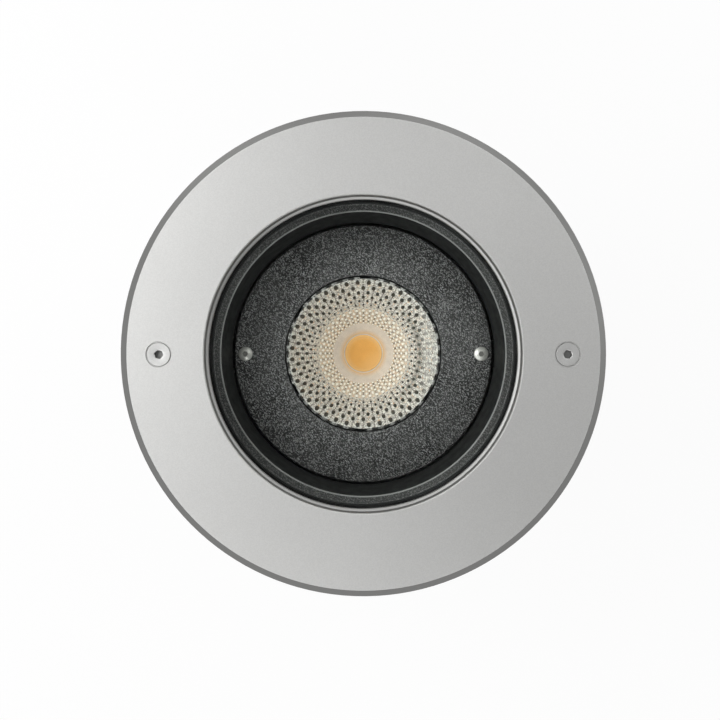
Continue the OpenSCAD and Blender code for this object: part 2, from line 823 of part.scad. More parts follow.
module holder_screws() {
    color(SCREW_STEEL) both_sides(holder_screw_x)
        low_head(2.5, m3_head_h, m3_r, sink_top + holder_h - 2.4, sink_top - 5, m3_socket_r);
}

module led_emitter() {
    color([0.95, 0.62, 0.2]) turned([
        [0, board_top], [emitter_r, board_top], [emitter_r, board_top + emitter_t - 0.3],
        [emitter_r - 0.4, board_top + emitter_t], [0, board_top + emitter_t]
    ]);
}

module led_board() {
    color([0.88, 0.88, 0.85]) translate([-board_w / 2, -board_w / 2, sink_top + pad_t])
        cube([board_w, board_w, board_t]);
}

module thermal_pad() {
    color([0.55, 0.57, 0.6]) translate([-board_w / 2, -board_w / 2, sink_top])
        cube([board_w, board_w, pad_t]);
}

// The heat sink: a round base with parallel fins, and a gap in the middle for the lead
module heat_sink() {
    fins_low = sink_top - sink_base_t - fin_h;
    color([0.72, 0.73, 0.74]) difference() {
        union() {
            rod(sink_r, sink_top - sink_base_t, sink_top);
            intersection() {
                rod(fin_r, fins_low, sink_top - 1);
                for (i = [-6 : 5]) translate([(i + 0.5) * fin_pitch - fin_t / 2, -fin_r, fins_low - 1])
                    cube([fin_t, 2 * fin_r, fin_h + sink_base_t]);
            }
        }
        around(leg_angles, leg_at) rod(2.2, sink_top - sink_base_t - e, sink_top + e);
        both_sides(holder_screw_x) rod(m3_r + 0.05, sink_top - 5.5, sink_top + e);
        translate([0, lead_y, 0]) rod(lead_r + 0.9, fins_low - e, sink_top + e);
    }
}

module heat_sink_screws() {
    color(SCREW_STEEL) around(leg_angles, leg_at) translate([0, 0, sink_top - sink_base_t])
        mirror([0, 0, 1])
            low_head(m35_head_r, m35_head_h, m35_r, 0, -sink_base_t - 10, m35_socket_r);
}

// A quarter bend of the lead about a centre in the YZ plane, from one angle on for 90 degrees
module lead_bend(y, z, r, from) {
    translate([0, y, z]) rotate([90, 0, 90]) rotate([0, 0, from])
        rotate_extrude(angle = 90) translate([r, 0]) circle(r = lead_r);
}

// A level stretch of the lead
module lead_level(y_low, y_high, z) {
    translate([0, y_low, z]) rotate([-90, 0, 0]) cylinder(r = lead_r, h = y_high - y_low);
}

// The lamp lead: out of the holder, down through the heat sink, then in to the upright axis
module lamp_lead() {
    top = sink_top + 2.8;
    small = 5;
    large = 10;
    level = sink_top - 35;
    color([0.85, 0.85, 0.83]) {
        lead_level(24, lead_y - small, top);
        lead_bend(lead_y - small, top - small, small, 0);
        translate([0, lead_y, 0]) rod(lead_r, level + large, top - small);
        lead_bend(lead_y - large, level + large, large, 270);
        lead_level(large, lead_y - large, level);
        lead_bend(large, level - large, large, 90);
        rod(lead_r, gear_top + 6, level - large);
    }
}

trim_ring();
trim_screws();
trim_gasket();
glass();
glass_seal();
glass_frame();
frame_screws();
frame_o_ring();
glare_cone();
cone_screws();
pot();
keeper_washers();
keeper_screws();
gear_pot();
gear_pillars();
pot_o_ring();
pot_screws();
gear_tray();
tray_screws();
tray_grommet();
led_driver();
driver_screws();
output_socket();
terminal_block();
terminal_screws();
driver_leads();
earth_terminal();
earth_lead();
gland_bodies();
gland_seals();
gland_caps();
gland_o_rings();
blanking_plug();
vent_plug();
pan_ring();
tilt_pins();
tilt_washers();
tilt_frame();
baffle_plate();
baffle_screws();
reflector();
lamp_holder();
holder_screws();
led_emitter();
led_board();
thermal_pad();
heat_sink();
heat_sink_screws();
lamp_lead();
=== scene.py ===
"""Recessed in-ground uplight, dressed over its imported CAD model.

Every size is in metres, in the frame of the CAD: the origin is the middle of the foot and +Z points up.
"""

import math

import bmesh
import bpy
from bpy.props import FloatProperty, FloatVectorProperty, IntProperty, PointerProperty
from mathutils import Matrix, Vector
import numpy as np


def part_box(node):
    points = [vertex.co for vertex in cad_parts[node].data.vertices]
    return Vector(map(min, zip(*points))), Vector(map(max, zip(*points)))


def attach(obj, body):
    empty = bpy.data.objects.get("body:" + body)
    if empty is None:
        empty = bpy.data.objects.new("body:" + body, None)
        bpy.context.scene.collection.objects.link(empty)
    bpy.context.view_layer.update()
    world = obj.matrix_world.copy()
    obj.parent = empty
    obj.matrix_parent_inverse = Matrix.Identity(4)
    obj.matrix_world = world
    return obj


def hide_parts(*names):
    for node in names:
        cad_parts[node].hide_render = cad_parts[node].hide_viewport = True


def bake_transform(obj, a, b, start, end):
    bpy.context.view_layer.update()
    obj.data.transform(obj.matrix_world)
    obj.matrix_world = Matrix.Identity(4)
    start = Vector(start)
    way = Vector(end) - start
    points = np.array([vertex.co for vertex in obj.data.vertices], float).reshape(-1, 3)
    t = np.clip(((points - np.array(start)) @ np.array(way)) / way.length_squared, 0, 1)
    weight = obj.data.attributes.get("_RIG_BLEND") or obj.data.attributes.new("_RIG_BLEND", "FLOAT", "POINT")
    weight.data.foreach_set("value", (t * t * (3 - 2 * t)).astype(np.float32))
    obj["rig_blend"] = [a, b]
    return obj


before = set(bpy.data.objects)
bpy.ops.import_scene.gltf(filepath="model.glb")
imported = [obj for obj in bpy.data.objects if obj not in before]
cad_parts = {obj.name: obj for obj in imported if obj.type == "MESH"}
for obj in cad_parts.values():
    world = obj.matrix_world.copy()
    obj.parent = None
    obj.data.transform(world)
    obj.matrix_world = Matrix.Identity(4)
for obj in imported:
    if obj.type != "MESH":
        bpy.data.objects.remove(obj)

bl_info = {
    "name": "In-ground uplight",
    "version": (1, 0, 0),
    "blender": (4, 5, 0),
    "location": "View3D > Sidebar > Uplight",
    "description": "Dresses the packed uplight: rounded castings, faceted reflector, screws, finishes and studio",
    "category": "Object",
}

TAU = 2 * math.pi
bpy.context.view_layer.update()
BEVEL_WIDTH = 0.004  # Of the trim ring's outer edge
TURNED_LINE = 1 / 9000  # Width of a line that turning leaves
TRIM_SOCKET, BUTTON_SOCKET, CAP_SOCKET = 0.00231, 0.00145, 0.00173  # Radii of the screws' hex sockets
SHANK = 0.00195  # Radius of the M4 screws
EMITTER_RADIUS = 0.0108


def top_of(node):
    """Height of the highest point of a CAD node."""
    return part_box(node)[1].z


# Sizes and colours that a user would change


def length(name, description, default):
    """A size in metres, shown as a distance."""
    return FloatProperty(name=name, description=description, default=default, min=0.0,
                         soft_max=default * 3, precision=5, subtype="DISTANCE", unit="LENGTH")


def count(name, description, default):
    """A count, from half to twice its default."""
    return IntProperty(name=name, description=description, default=default, min=default // 2, max=default * 2)


def number(name, description, default, least, most):
    """A plain number."""
    return FloatProperty(name=name, description=description, default=default, min=least, max=most)


def colour(name, description, *default):
    """A colour, in linear red, green and blue."""
    return FloatVectorProperty(name=name, description=description, default=default, size=3,
                               min=0.0, max=1.0, subtype="COLOR")


class UplightSizes(bpy.types.PropertyGroup):
    """Sizes of the pieces that are finer than the CAD"""

    casting_round: length("Casting round", "Radius of the broken edges on the castings", 0.0006)
    turned_round: length("Turned round", "Radius of the broken edges on turned and machined parts", 0.00025)
    facets_round: count("Facets round", "Facets in one row of the reflector", 40)
    facet_rows: count("Facet rows", "Rows of facets from the rim to the mouth", 14)
    facet_samples: count("Facet samples", "Mesh faces along each side of a facet", 6)
    facet_depth: length("Facet depth", "How far a facet at the rim bulges out of the bowl", 0.0004)
    row_ratio: number("Row ratio", "Height of a row against the row above it", 0.86, 0.6, 0.99)
    mouth_radius: length("Mouth radius", "Radius of the reflector's lower end", 0.0174)
    bowl_radius: length("Bowl radius", "Radius of the reflector's inside at its rim", 0.0400)
    steel_grain: length("Steel grain", "Size of the bead-blasted grain on the trim ring", 0.0006)
    peel_cell: length("Peel cell", "Size of the bumps in the textured black paint", 0.00062)
    ledge_height: length("Ledge height", "Height of the textured ledge under the glass", 0.199)
    ledge_radius: length("Ledge radius", "Radius of the ledge's inner edge", 0.0730)
    lead_radius: length("Lead radius", "Radius of the lamp lead", 0.0018)


class UplightColours(bpy.types.PropertyGroup):
    """Colours of the finishes"""

    blasted_steel: colour("Blasted steel", "Bead-blasted trim ring", 0.60, 0.60, 0.59)
    # Its darkness is painted reflection of the dim room; the turned finish itself is real
    turned_steel: colour("Turned steel", "Bevel round the trim ring", 0.18, 0.18, 0.175)
    screw_steel: colour("Screw steel", "Stainless screws and pins", 0.52, 0.52, 0.50)
    button_steel: colour("Button steel", "Heads of the baffle screws", 0.68, 0.67, 0.63)
    black_rubber: colour("Black rubber", "Gaskets, seals and grommet", 0.012, 0.012, 0.012)
    black_casting: colour("Black casting", "Painted aluminium castings", 0.028, 0.029, 0.029)
    # Also used as painted shade on the throat wall above the ledge
    smooth_black: colour("Smooth black", "Glare cone", 0.013, 0.014, 0.0135)
    frame_black: colour("Frame black", "Ledge under the glass", 0.126, 0.127, 0.124)
    textured_black: colour("Textured black", "Baffle plate", 0.165, 0.165, 0.163)
    silver: colour("Silver", "Bright part of the reflector", 0.98, 0.98, 0.93)
    # Painted reflection of the dark opening, in the middle of each facet near the rim
    facet_shade: colour("Facet shade", "Dark middle of a facet near the rim", 0.022, 0.027, 0.024)
    # Painted glint in the middle of each facet low in the bowl
    facet_glint: colour("Facet glint", "Pale middle of a facet low in the bowl", 1.0, 0.98, 0.92)
    # Painted reflection of the warm holder and emitter, low in the bowl
    bowl_beige: colour("Bowl beige", "Warm tone low in the bowl", 0.66, 0.57, 0.455)
    frosted_plastic: colour("Frosted plastic", "Lamp holder", 0.64, 0.545, 0.455)
    # Painted amber light from the emitter, on the holder next to it
    warm_plastic: colour("Warm plastic", "Lamp holder next to the emitter", 0.70, 0.45, 0.22)
    amber_phosphor: colour("Amber phosphor", "Emitter", 0.73, 0.355, 0.083)
    # Paler edge of the emitter, and painted light on one side of it
    pale_phosphor: colour("Pale phosphor", "Paler side and edge of the emitter", 0.80, 0.52, 0.235)
    phosphor_line: colour("Phosphor line", "Fine line round the emitter", 0.48, 0.25, 0.08)
    red_silicone: colour("Red silicone", "O-rings of the pot", 0.22, 0.02, 0.012)
    zinc_sheet: colour("Zinc sheet", "Gear tray, its pillars, and pan ring", 0.50, 0.51, 0.52)
    white_plastic: colour("White plastic", "Driver and lamp board", 0.72, 0.72, 0.69)
    grey_plastic: colour("Grey plastic", "Terminal block and socket", 0.52, 0.52, 0.49)
    brass_screws: colour("Brass screws", "Terminal screws", 0.62, 0.42, 0.14)
    brown_lead: colour("Brown lead", "Live lead", 0.10, 0.032, 0.012)
    blue_lead: colour("Blue lead", "Neutral lead", 0.012, 0.035, 0.28)
    green_lead: colour("Green lead", "Ground colour of the earth leads", 0.05, 0.26, 0.03)
    yellow_lead: colour("Yellow lead", "Stripe of the earth leads", 0.72, 0.60, 0.03)
    gland_plastic: colour("Gland plastic", "Glands, plugs and tilt washers", 0.030, 0.030, 0.031)
    pad_silicone: colour("Pad silicone", "Thermal pad", 0.26, 0.28, 0.31)
    bare_aluminium: colour("Bare aluminium", "Heat sink", 0.60, 0.61, 0.62)
    white_lead: colour("White lead", "Lamp lead", 0.68, 0.68, 0.65)


class UplightStudio(bpy.types.PropertyGroup):
    """Camera and light"""

    camera_height: length("Camera height", "Height of the camera above the floor", 0.700)
    focal_length: number("Focal length", "Lens, in millimetres on a 36 mm sensor", 49.0, 10.0, 200.0)
    lamp_share: number("Lamp share", "Power of every lamp against its plain level", 1.0, 0.0, 10.0)
    spot_power: number("Spot power", "Watts of each narrow lamp over the window", 12.0, 0.0, 100.0)
    room_level: number("Room level", "Brightness of the room round the fitting", 0.11, 0.0, 1.0)


def sizes():
    return bpy.context.scene.uplight_sizes


def colours():
    return bpy.context.scene.uplight_colours


# Node trees

NOISE_SPREAD = (0.3, 0.7)  # Almost all of a noise's values lie between these
FINE_SPREAD = (0.35, 0.65)  # The same for the grain of a surface


def set_all(thing, settings):
    """Gives a thing all these settings."""
    for key, value in settings.items():
        setattr(thing, key, value)


def shaded(rgb, share):
    """A colour made lighter or darker by a share of itself."""
    return tuple(min(1.0, c * (1 + share)) for c in rgb)


class Value:
    """An output of a node. Every sum or product of it adds a Math node to its graph."""

    def __init__(self, graph, socket):
        self.graph, self.socket = graph, socket

    def __add__(self, other):
        return self.graph.calc("ADD", self, other)

    def __sub__(self, other):
        return self.graph.calc("SUBTRACT", self, other)

    def __rsub__(self, other):
        return self.graph.calc("SUBTRACT", other, self)

    def __mul__(self, other):
        return self.graph.calc("MULTIPLY", self, other)

    def __truediv__(self, other):
        return self.graph.calc("DIVIDE", self, other)

    def __abs__(self):
        return self.graph.calc("ABSOLUTE", self)


class Graph:
    """A node tree, with short ways to add nodes and join them."""

    def __init__(self, tree):
        self.tree = tree

    def add(self, kind, values=None, **settings):
        """Adds a node with its settings, then links or sets its inputs, which are named or numbered."""
        node = self.tree.nodes.new(kind)
        set_all(node, settings)
        for key, value in (values or {}).items():
            if isinstance(value, Value):
                self.tree.links.new(value.socket, node.inputs[key])
            else:
                node.inputs[key].default_value = value
        return node

    def take(self, kind, values=None, output=0, **settings):
        """Adds a node, and gives one of its outputs."""
        return Value(self, self.add(kind, values, **settings).outputs[output])

    def calc(self, operation, *values):
        """A Math node of one or two values."""
        return self.take("ShaderNodeMath", dict(enumerate(values)), operation=operation)

    def axes(self, place):
        """The three coordinates of a place."""
        return [Value(self, out) for out in self.add("ShaderNodeSeparateXYZ", {0: place}).outputs]

    def at(self, x=0.0, y=0.0, z=0.0):
        """The place with these three coordinates."""
        return self.take("ShaderNodeCombineXYZ", {0: x, 1: y, 2: z})

    def from_axis(self, x, y):
        """Distance from an upright axis, from the two distances along X and Y."""
        return self.calc("SQRT", x * x + y * y)

    def stagger(self, row):
        """Half a facet's width in every other row, and nothing in the rest."""
        return self.calc("FLOORED_MODULO", self.calc("FLOOR", row), 2.0) * 0.5

    def step(self, value, low, high, out_low=0.0, out_high=1.0):
        """value taken smoothly from low..high to out_low..out_high."""
        return self.take("ShaderNodeMapRange", {0: value, 1: low, 2: high, 3: out_low, 4: out_high},
                         interpolation_type="SMOOTHSTEP")

    def spread(self, noise, out_low=0.0, out_high=1.0):
        """A noise taken to out_low..out_high."""
        return self.step(noise, *NOISE_SPREAD, out_low, out_high)

    def mix(self, factor, first, second):
        """A colour between two, each a node's output or red, green and blue."""
        first, second = (c if isinstance(c, Value) else (*c, 1.0) for c in (first, second))
        return self.take("ShaderNodeMix", {0: factor, 6: first, 7: second}, 2, data_type="RGBA")

    def tones(self, factor, rgb, low, high):
        """A colour between two that are rgb, lighter or darker by a share."""
        return self.mix(factor, shaded(rgb, low), shaded(rgb, high))


class Finish(Graph):
    """A material in the making. place is the point being shaded, in object coordinates."""

    def __init__(self, name):
        self.material = bpy.data.materials.new(name)
        self.material.use_nodes = True
        super().__init__(self.material.node_tree)
        self.tree.nodes.clear()
        self.place = self.take("ShaderNodeTexCoord", output="Object")

    def noise(self, size, detail=2.0, roughness=0.5, place=None, output="Fac"):
        """Noise whose features are about size across."""
        return self.take("ShaderNodeTexNoise", {"Vector": place or self.place, "Scale": 1 / size, "Detail": detail,
                                                "Roughness": roughness}, output)

    def bump(self, height, depth, strength=1.0):
        """The way the surface faces, over bumps of that height and depth."""
        return self.take("ShaderNodeBump", {"Height": height, "Strength": strength, "Distance": depth})

    def close(self, base, rough, normal, metallic=0.0, specular=0.5):
        """Ends the finish in one shader, and gives the material."""
        return self.show(self.take("ShaderNodeBsdfPrincipled", {
            "Base Color": base, "Roughness": rough, "Normal": normal, "Metallic": metallic,
            "Specular IOR Level": specular}))

    def show(self, shader):
        """Joins a shader to the output, and gives the material."""
        self.add("ShaderNodeOutputMaterial", {"Surface": shader})
        return self.material


def in_socket(f, node, radius):
    """1 in the sockets of a node's two screws, which stand left and right of the middle, and 0 elsewhere: the mask
    of painted shade.
    """
    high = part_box(node)[1]
    x, y, z = f.axes(f.place)
    beside = abs(x) - (high.x - high.y)
    near = f.step(f.from_axis(beside, y), radius * 1.02, radius * 1.10, 1.0, 0.0)
    return near * f.step(z, high.z - 0.0006, high.z - 0.0002, 1.0, 0.0)


def grained(name, rough, tone=None, metallic=0.0, grain=0.0005, depth=0.00002, mottle=0.06, patch=0.012,
            rough_swing=0.06, speckle=0.0, socket=None, specular=0.5):
    """A finish with fine grain in its surface, and slow drift in its colour and gloss.

    tone names its colour where that isn't the finish's own name. grain and depth are the size and
    height of the bumps, patch the size of the drift in colour. socket is a node of screws and the
    radius of their sockets, which get painted shade.
    """
    f = Finish(name)
    rgb = getattr(colours(), tone or name)
    fine = f.noise(grain, 3.0, 0.6)
    base = f.tones(f.spread(f.noise(patch, 3.0)), rgb, -mottle, mottle)
    if speckle:
        base = f.mix(f.step(fine, *FINE_SPREAD, 0.0, speckle), base, shaded(rgb, -0.5))
    # Painted shade in the screws' sockets
    if socket:
        base = f.mix(in_socket(f, *socket), base, shaded(rgb, -0.55))
    gloss = f.spread(f.noise(patch * 0.4, 4.0), rough - rough_swing, rough + rough_swing)
    return f.close(base, gloss, f.bump(fine, depth), metallic, specular)


def blasted(c, s):
    """Bead-blasted steel, with a bevel round its edge that is turned smooth, and darker as painted reflection of
    the dim room round it.
    """
    f = Finish("blasted_steel")
    x, y, z = f.axes(f.place)
    away = f.from_axis(x, y)
    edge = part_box("trim_ring")[1].y - BEVEL_WIDTH
    bevel = f.step(away, edge, edge + 0.0002)
    top = top_of("trim_ring")
    # The wall of the window, from under its rounded edge down to the lip, and the lip: darker as painted
    # reflection of the dark inside
    lip_top, lip_low = top - 0.0026, top - 0.0029
    wall = f.step(z, top - 0.0010, top - 0.0007, 1.0, 0.0) * f.step(z, lip_low, lip_top)
    lip = f.step(z, lip_low, lip_top, 0.5, 0.0)
    smooth_painted_dark_part = f.calc("MAXIMUM", f.calc("MAXIMUM", bevel, wall), lip)
    fine = f.noise(s.steel_grain, 3.0, 0.6)
    base = f.tones(f.spread(f.noise(0.05, 3.0)), c.blasted_steel, -0.012, 0.012)
    base = f.mix(f.step(fine, *FINE_SPREAD, 0.0, 0.14), base, shaded(c.blasted_steel, -0.5))
    lines = f.noise(TURNED_LINE, place=f.at(away, z))
    # Painted reflection: the bevel, wall and lip take the darker turned colour for the dim things they mirror; the
    # turned lines are real
    base = f.mix(smooth_painted_dark_part, base, f.tones(f.spread(lines), c.turned_steel, -0.12, 0.12))
    grain = f.bump(fine, 0.00003, f.step(bevel, 0.0, 1.0, 1.0, 0.2))
    return f.close(base, f.step(bevel, 0.0, 1.0, 0.55, 0.42), grain, 1.0)


def blasted_heads(c, s):
    """The heads of the trim screws: blasted, with painted shade in their sockets."""
    return grained("blasted_heads", 0.50, "blasted_steel", 1.0, grain=s.steel_grain, depth=0.00003, mottle=0.02,
                   patch=0.006, rough_swing=0.012, speckle=0.12, socket=("trim_screws", TRIM_SOCKET))


def peel_paint(name, cell, depth, rough, painted_relief, ledge=None):
    """Textured paint: wrinkles that run slantwise, with painted light on their tops and painted shade in their
    hollows.

    ledge is the height that the texture ends at, under smooth and deeper black that is painted shade
    on the throat wall, and the radius of an edge with a pale line of painted highlight.
    """
    f = Finish(name)
    rgb = getattr(colours(), name)
    slanted = f.take("ShaderNodeMapping", {"Vector": f.place, "Rotation": (0, 0, -math.pi / 4),
                                           "Scale": (1.5, 0.9, 1.0)}, vector_type="TEXTURE")
    wobble = f.noise(cell / 0.6, place=slanted, output="Color")
    bent = f.take("ShaderNodeMix", {0: 0.0012, 4: slanted, 5: wobble}, 1, data_type="VECTOR")
    cells = f.take("ShaderNodeTexVoronoi", {"Vector": bent, "Scale": 1 / cell, "Smoothness": 0.8}, "Distance",
                   feature="SMOOTH_F1")
    height = (1.0 - cells) * 0.75 + f.noise(cell * 0.8, 3.0, 0.6, slanted) * 0.55
    # Painted light and shade: the wrinkle tops are lighter and the hollows darker, as if lit
    painted_lit_tops = f.step(height, 0.62, 0.98)
    base = f.tones(painted_lit_tops, rgb, -0.75 * painted_relief, 0.95 * painted_relief)
    base = f.mix(f.spread(f.noise(0.02), 0.0, 0.25), base, shaded(rgb, -0.3))
    strength = 1.0
    if ledge:
        ledge_top, edge = ledge
        x, y, z = f.axes(f.place)
        # Painted highlight: a pale line on the ledge's edge
        off_highlight_edge = abs(f.from_axis(x, y) - edge)
        base = f.mix(f.step(off_highlight_edge, 0.0001, 0.0005, 0.5, 0.0), base, shaded(rgb, 4.0))
        # Painted shade: above the ledge, the throat wall takes the deeper smooth black
        shaded_throat = f.step(z, ledge_top, ledge_top + 0.0002)
        base = f.mix(shaded_throat, base, colours().smooth_black)
        strength = f.step(shaded_throat, 0.0, 1.0, 1.0, 0.1)
    return f.close(base, f.step(painted_lit_tops, 0.0, 1.0, rough + 0.08, rough - 0.05), f.bump(height, depth, strength))


def row_numbers():
    """Origin and reach of the rows' heights: row v starts at origin + reach * row_ratio ** v."""
    s = sizes()
    rim, mouth = top_of("reflector"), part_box("reflector")[0].z
    reach = (rim - mouth) / (1 - s.row_ratio ** s.facet_rows)
    return rim - reach, reach, rim, mouth


def silvered(c, s):
    """The reflector, with painted reflections: dark round dots on silver near the rim, and pale dots on beige
    lower down.

    Its rows of facets are counted from 0 at the rim.
    """
    origin, reach, rim, mouth = row_numbers()
    f = Finish("silvered")
    x, y, z = f.axes(f.place)
    height = f.calc("MAXIMUM", z - origin, 0.001)
    row = f.calc("LOGARITHM", height / reach, math.e) / math.log(s.row_ratio)
    column = f.calc("ARCTAN2", y, x) * (s.facets_round / TAU) + f.stagger(row)
    across = f.calc("FRACT", column) - 0.5
    along = f.calc("FRACT", row) - 0.5
    # A facet's width over the room that its row takes up, as seen from above, keeps the dots round
    slope = (s.bowl_radius ** 2 - s.mouth_radius ** 2) / (rim - mouth)
    stretch = (x * x + y * y) * (2 * TAU / s.facets_round / slope / -math.log(s.row_ratio)) / height
    uneven = f.noise(0.0035)
    ragged = f.from_axis(across * stretch, along) + uneven * 0.12
    growth = f.step(row, 3.0, 5.5, 0.0, -0.10) + f.step(row, 6.0, 7.5, 0.0, 0.20)
    # Painted reflection: each facet's dot, dark near the rim and pale low down
    reflected_dot = f.step(ragged - growth, 0.54, 0.42)
    # Painted reflection: small dark specks sit between two dots of a row
    beside = (0.5 - abs(across)) * stretch
    reflected_speck = f.step(f.from_axis(beside, along), 0.20, 0.10, 0.0, 0.6)
    low = f.step(row, s.facet_rows * 0.42, s.facet_rows * 0.50)
    # Painted reflection: the beige low in the bowl stands for the warm holder and emitter that it mirrors
    ground = f.mix(f.step(row, s.facet_rows * 0.34, s.facet_rows * 0.60), c.silver, c.bowl_beige)
    mottled = f.step(f.noise(0.0010), 0.40, 0.58, 0.0, 0.85) * (1.0 - low)
    ground = f.mix(mottled, ground, shaded(c.silver, -0.62))
    dark_reflection_part = f.calc("MAXIMUM", reflected_dot, reflected_speck * (1.0 - low))
    # Painted reflection: the dots fade at the right, where the bowl mirrors something bright
    base = f.mix(dark_reflection_part * f.step(x, 0.029, 0.036, 1.0, 0.35), ground, f.mix(low, c.facet_shade, c.facet_glint))
    # Painted reflection of the dark arc that the right side of the bowl mirrors
    dark_arc_reflection = f.step(x, 0.017, 0.029, 0.0, 0.5) * (f.step(row, 2.4, 3.4) * f.step(row, 3.5, 4.7, 1.0, 0.0))
    base = f.mix(dark_arc_reflection, base, shaded(c.facet_shade, 2.0))
    smear = f.noise(0.005, 3.0)
    base = f.mix(f.step(smear, 0.5, 0.8, 0.0, 0.2), base, shaded(c.silver, -0.5))
    return f.close(base, f.spread(smear, 0.36, 0.48), f.bump(uneven, 0.00005, 0.5),
                   f.step(low, 0.0, 1.0, 0.12, 0.0), 0.25)


def scalloped(c, s):
    """Rim and outside of the reflector: bright metal, with painted shade in the creases where two facets meet."""
    f = Finish("reflector_shell")
    x, y, _ = f.axes(f.place)
    column = f.calc("FRACT", f.calc("ARCTAN2", y, x) * (s.facets_round / TAU))
    # Painted shade in the creases between facets
    base = f.mix(f.step(abs(column - 0.5), 0.16, 0.30), c.silver, shaded(c.silver, -0.85))
    return f.close(base, f.spread(f.noise(0.002, 3.0), 0.20, 0.34), f.bump(f.noise(0.0004), 0.00001, 0.5), 1.0)


def clear_glass(c, s):
    """Clear toughened glass: see-through, with a faint sheen that grows at a glance."""
    f = Finish("clear_glass")
    gloss = f.take("ShaderNodeBsdfGlossy", {
        "Color": (1, 1, 1, 1), "Roughness": f.step(f.noise(0.02, 4.0), 0.3, 0.8, 0.02, 0.07)})
    through = f.take("ShaderNodeBsdfTransparent", {"Color": (0.985, 0.995, 0.99, 1)})
    sheen = f.take("ShaderNodeFresnel", {"IOR": 1.45}) * 0.15
    return f.show(f.take("ShaderNodeMixShader", {0: sheen, 1: through, 2: gloss}))


def frosted(c, s):
    """Frosted plastic of the lamp holder, with the emitter's amber light painted on it near the emitter."""
    f = Finish("frosted_plastic")
    x, y, _ = f.axes(f.place)
    near = f.step(f.from_axis(x, y), EMITTER_RADIUS, 0.0145, 1.0, 0.0)
    cloud = f.noise(0.003, 3.0)
    # Painted light: amber spill from the emitter near its bore
    base = f.mix(near, f.tones(f.spread(cloud), c.frosted_plastic, -0.05, 0.06), c.warm_plastic)
    return f.close(base, f.spread(cloud, 0.42, 0.55), f.bump(f.noise(0.0004), 0.00002, 0.6))


def phosphor(c, s):
    """The emitter: amber gel, paler towards its edge and, as painted light, on one side, with a fine line round
    it.
    """
    f = Finish("amber_phosphor")
    x, y, _ = f.axes(f.place)
    away = f.from_axis(x, y)
    cloud = f.noise(0.004, 3.0)
    base = f.tones(f.step(cloud, 0.2, 0.8), c.amber_phosphor, -0.04, 0.05)
    # Paler towards the edge, and painted light on the side where x exceeds y
    paler_edge_and_lit_side = f.calc("MAXIMUM", f.step(away, 0.0070, EMITTER_RADIUS), f.step(x - y, 0.000, 0.014, 0.0, 0.6))
    base = f.mix(paler_edge_and_lit_side * 0.6, base, c.pale_phosphor)
    line = f.step(abs(away - 0.0094), 0.0, 0.0003, 0.2, 0.0)
    base = f.mix(line, base, c.phosphor_line)
    return f.close(base, f.spread(cloud, 0.35, 0.5), f.bump(f.noise(0.0005), 0.00002, 0.5))


def lead_cover(f, base):
    """Ends the finish of a lead's cover."""
    return f.close(base, f.spread(f.noise(0.004), 0.35, 0.5), f.bump(f.noise(0.0007), 0.00002, 0.5))


def wire_covers(c, s):
    """Covers of the three driver leads: brown, blue, and green with a yellow stripe."""
    f = Finish("lead_plastic")
    x, _, _ = f.axes(f.place)
    blue, green = (f.step(x, middle - 0.0005, middle + 0.0005) for middle in (-0.0070, 0.0070))
    stripe = f.step(abs(x - 0.0143), 0.0005, 0.0006, 1.0, 0.0)
    earth = f.mix(stripe, c.green_lead, c.yellow_lead)
    return lead_cover(f, f.mix(green, f.mix(blue, c.brown_lead, c.blue_lead), earth))


def earth_cover(c, s):
    """Cover of the earth lead: green with a yellow stripe on one side."""
    f = Finish("earth_plastic")
    _, y, _ = f.axes(f.place)
    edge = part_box("earth_lead")[0].y
    return lead_cover(f, f.mix(f.step(y, edge + 0.0009, edge + 0.0010, 1.0, 0.0), c.green_lead, c.yellow_lead))


METAL = {"metallic": 1.0, "depth": 0.00001}
CABLE_PLASTIC = {"grain": 0.0006, "depth": 0.00003}
# Plain finishes, each with its roughness and what else isn't as grained has it
GRAINED = {
    # Its sockets get painted shade
    "button_steel": (0.40, {"metallic": 0.70, "depth": 0.00001, "mottle": 0.08, "patch": 0.003,
                            "socket": ("baffle_screws", BUTTON_SOCKET)}),
    "screw_steel": (0.30, METAL),
    "black_rubber": (0.65, {"grain": 0.0008}),
    "smooth_black": (0.42, {"grain": 0.0006, "depth": 0.00001, "mottle": 0.12, "specular": 0.3}),
    "red_silicone": (0.5, {}),
    "zinc_sheet": (0.40, {**METAL, "mottle": 0.12, "patch": 0.006}),
    "white_plastic": (0.45, {}),
    "grey_plastic": (0.45, {}),
    "brass_screws": (0.32, METAL),
    "gland_plastic": (0.45, CABLE_PLASTIC),
    "nylon": (0.5, {"tone": "gland_plastic", **CABLE_PLASTIC}),
    "pad_silicone": (0.6, {}),
    "bare_aluminium": (0.38, {"metallic": 1.0, "depth": 0.000015, "mottle": 0.08, "patch": 0.01}),
    "white_lead": (0.4, {"grain": 0.0008}),
}

# The other finishes, each made from the colours and the sizes
DRAWN = {
    "blasted_steel": blasted, "blasted_heads": blasted_heads, "reflector_shell": scalloped, "silvered": silvered,
    "clear_glass": clear_glass, "frosted_plastic": frosted, "amber_phosphor": phosphor,
    "lead_plastic": wire_covers, "earth_plastic": earth_cover,
    # In peel_paint, the fifth number sets the painted light and shade on the wrinkles
    "black_casting": lambda c, s: peel_paint("black_casting", 0.0009, 0.00005, 0.50, 0.7),
    "frame_black": lambda c, s: peel_paint("frame_black", s.peel_cell, 0.00014, 0.40, 0.8,
                                           (s.ledge_height + 0.0003, s.ledge_radius)),
    "textured_black": lambda c, s: peel_paint("textured_black", s.peel_cell, 0.00045, 0.36, 1.3),
}


